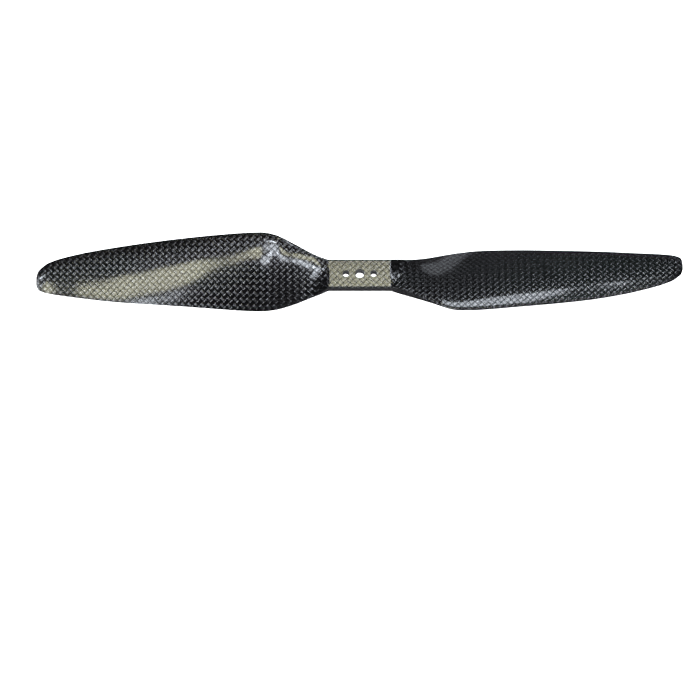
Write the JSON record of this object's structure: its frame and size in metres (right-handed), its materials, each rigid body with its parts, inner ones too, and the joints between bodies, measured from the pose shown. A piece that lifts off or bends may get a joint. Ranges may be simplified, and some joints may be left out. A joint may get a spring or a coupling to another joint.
{
  "type": "propeller",
  "caption": "Fixed-pitch two-blade drone propeller in woven carbon fibre with a flat bored hub, clockwise seen from above.",
  "frame": {"origin": "axis of the centre bore on the underside of the hub, where the hub sits on the motor", "axes": "+Z along the centre bore in the direction of thrust; +X along one blade, from the hub to its tip; +Y across the blades"},
  "size_m": [0.2794, 0.0362, 0.0147],
  "materials": {
    "woven_carbon": "plain-weave carbon cloth laid at 45 degrees to the blade, under a clear gloss coat",
    "strand_carbon": "unidirectional carbon strands in resin, satin",
    "solid_laminate": "chopped carbon fibre and resin, satin",
    "foam_core": "closed-cell structural foam"
  },
  "bodies": {
    "root": {"upper_skin": "woven_carbon", "lower_skin": "woven_carbon", "upper_spar_cap": "strand_carbon", "lower_spar_cap": "strand_carbon", "upper_hub_doubler": "strand_carbon", "lower_hub_doubler": "strand_carbon", "hub_block": "solid_laminate", "right_root_wedge": "solid_laminate", "left_root_wedge": "solid_laminate", "right_blade_core": "foam_core", "left_blade_core": "foam_core", "right_leading_edge_tow": "strand_carbon", "left_leading_edge_tow": "strand_carbon", "right_trailing_edge_strip": "solid_laminate", "left_trailing_edge_strip": "solid_laminate", "right_tip_plies": "strand_carbon", "left_tip_plies": "strand_carbon"}
  },
  "joints": []
}
